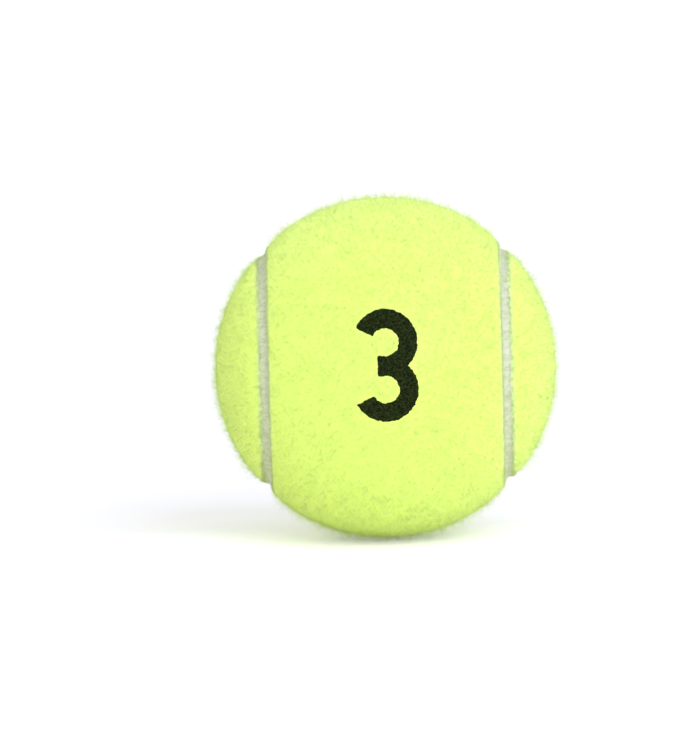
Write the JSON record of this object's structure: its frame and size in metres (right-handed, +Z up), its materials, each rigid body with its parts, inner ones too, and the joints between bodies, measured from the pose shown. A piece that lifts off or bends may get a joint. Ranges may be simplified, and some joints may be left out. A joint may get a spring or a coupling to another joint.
{
  "type": "tennis ball",
  "caption": "Hollow rubber ball covered by two interlocking dog-bone felt panels, with a sunken cement seam between them and a plain number printed on the felt.",
  "frame": {"origin": "centre of the ball", "axes": "+Z up as the ball lies in the picture; the middle of the front panel and its printed number face -Y; +X to the right seen from in front"},
  "size_m": [0.0666, 0.0666, 0.0666],
  "materials": {
    "felt": "matte",
    "seam_cement": "matte",
    "core_rubber": "matte",
    "rubber_cement": "matte",
    "printed_felt": "matte"
  },
  "bodies": {
    "root": {"core_half_upper": "core_rubber", "core_half_lower": "core_rubber", "core_joint_cement": "rubber_cement", "panel_cement_front": "rubber_cement", "panel_cement_back": "rubber_cement", "felt_panel_front": "felt", "felt_panel_back": "felt", "seam_edge_front": "seam_cement", "seam_edge_back": "seam_cement", "number_ink": "printed_felt"}
  },
  "joints": []
}
